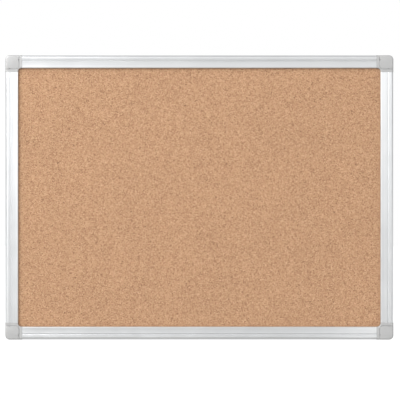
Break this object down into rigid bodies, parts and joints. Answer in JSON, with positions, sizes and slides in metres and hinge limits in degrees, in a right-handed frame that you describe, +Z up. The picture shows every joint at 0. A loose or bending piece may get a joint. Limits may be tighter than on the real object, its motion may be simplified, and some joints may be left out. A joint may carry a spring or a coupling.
{
  "type": "cork bulletin board",
  "caption": "Wall cork board: cork on softboard in slim aluminium rails, with grey plastic corner brackets whose pull-off caps hide the wall screws.",
  "frame": {"origin": "centre of the wall-screw rectangle on the back plane, which is also the middle of the board's width and height", "axes": "+X to the right along the width, +Z up, +Y into the wall, so the cork faces -Y"},
  "size_m": [0.61, 0.0154, 0.447],
  "materials": {
    "anodised_aluminium": "satin",
    "grey_abs": "satin",
    "cork": "matte",
    "softboard": "matte",
    "backing_paper": "matte",
    "zinc_plated_steel": "satin"
  },
  "bodies": {
    "frame": {"rail_bottom": "anodised_aluminium", "rail_top": "anodised_aluminium", "rail_left": "anodised_aluminium", "rail_right": "anodised_aluminium", "cork_sheet": "cork", "core_board": "softboard", "backing_sheet": "backing_paper", "corner_base_bottom_left": "grey_abs", "frame_screws_bottom_left": "zinc_plated_steel", "corner_base_bottom_right": "grey_abs", "frame_screws_bottom_right": "zinc_plated_steel", "corner_base_top_left": "grey_abs", "frame_screws_top_left": "zinc_plated_steel", "corner_base_top_right": "grey_abs", "frame_screws_top_right": "zinc_plated_steel"},
    "cap_bottom_left": {"corner_cap_bottom_left": "grey_abs"},
    "cap_bottom_right": {"corner_cap_bottom_right": "grey_abs"},
    "cap_top_left": {"corner_cap_top_left": "grey_abs"},
    "cap_top_right": {"corner_cap_top_right": "grey_abs"}
  },
  "joints": [
    {"name": "cap_bottom_left_pull", "type": "slide", "parent": "frame", "child": "cap_bottom_left", "axis": [0, -1, 0], "range_m": [0, 0.025]},
    {"name": "cap_bottom_right_pull", "type": "slide", "parent": "frame", "child": "cap_bottom_right", "axis": [0, -1, 0], "range_m": [0, 0.025]},
    {"name": "cap_top_left_pull", "type": "slide", "parent": "frame", "child": "cap_top_left", "axis": [0, -1, 0], "range_m": [0, 0.025]},
    {"name": "cap_top_right_pull", "type": "slide", "parent": "frame", "child": "cap_top_right", "axis": [0, -1, 0], "range_m": [0, 0.025]}
  ]
}
